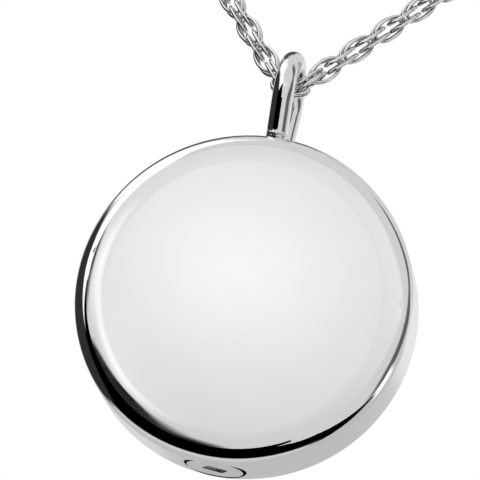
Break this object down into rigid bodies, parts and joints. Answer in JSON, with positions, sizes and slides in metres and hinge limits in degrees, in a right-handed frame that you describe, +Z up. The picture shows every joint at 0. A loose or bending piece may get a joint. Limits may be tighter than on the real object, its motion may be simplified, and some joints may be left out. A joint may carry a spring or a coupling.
{
  "type": "keepsake urn pendant on a chain",
  "caption": "Round polished hollow keepsake urn with a wire bail on top and a slotted fill screw in its rim, hanging on a fine double-link chain loop with a ring clasp.",
  "frame": {"origin": "middle of the clasp, where the necklace rests on the nape", "axes": "+Z up, -Y out of the urn's front face, +X to the right of someone who faces the urn"},
  "size_m": [0.1284, 0.0863, 0.1823],
  "materials": {
    "urn_metal": "mirror-polished silver with faint handling scratches",
    "screw_metal": "turned and satin-polished silver",
    "chain_metal": "bright polished silver wire",
    "clasp_metal": "bright polished silver"
  },
  "bodies": {
    "necklace": {"chain": "chain_metal", "clasp": "clasp_metal"},
    "pendant": {"urn": "urn_metal"},
    "screw": {"fill_screw": "screw_metal"}
  },
  "joints": [
    {"name": "pendant_swing", "type": "hinge", "parent": "necklace", "child": "pendant", "pos_m": [0, -0.08124, -0.15279], "axis": [1, 0, 0], "range_deg": [-90, 90]},
    {"name": "screw_draw", "type": "slide", "parent": "pendant", "child": "screw", "axis": [0, 0, -1], "range_m": [0, 0.0026]}
  ]
}
